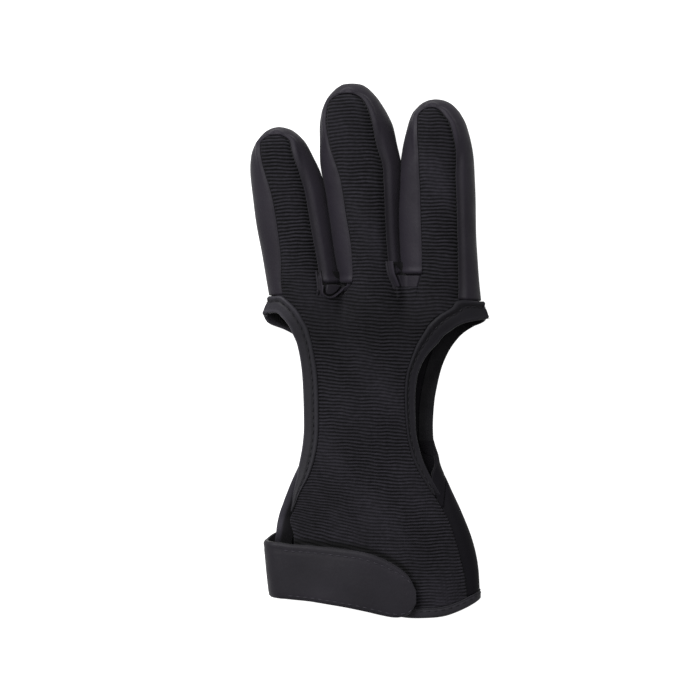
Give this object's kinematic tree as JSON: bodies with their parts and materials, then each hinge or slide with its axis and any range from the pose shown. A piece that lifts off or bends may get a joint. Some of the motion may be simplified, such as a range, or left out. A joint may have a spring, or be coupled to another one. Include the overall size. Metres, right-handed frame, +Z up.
{
  "type": "archery glove",
  "caption": "Soft glove with stalls for the index, middle and ring fingers, a ribbed back, open sides and a wrist strap.",
  "frame": {"origin": "on the surface that the glove lies on, below the middle of its box", "axes": "+X to the little finger side, +Y to the fingertips, +Z up out of the back of the hand"},
  "size_m": [0.0914, 0.204, 0.0183],
  "materials": {
    "ribbed_fabric": "matt ribbed stretch fabric",
    "stall_leather": "smooth matt microfibre leather",
    "palm_leather": "smooth matt microfibre leather",
    "binding_leather": "smooth leather, folded and stitched",
    "strap_leather": "smooth leather, stitched near its edges",
    "hook_pad": "matt hook tape"
  },
  "bodies": {
    "root": {"back_panel": "ribbed_fabric", "index_stall": "stall_leather", "middle_stall": "stall_leather", "ring_stall": "stall_leather", "palm_panel": "palm_leather", "thumb_side_binding": "binding_leather", "little_finger_side_binding": "binding_leather", "web_index_middle": "stall_leather", "web_middle_ring": "stall_leather", "cuff_hem": "binding_leather", "wrist_strap": "strap_leather", "strap_hook_pad": "hook_pad"}
  },
  "joints": []
}
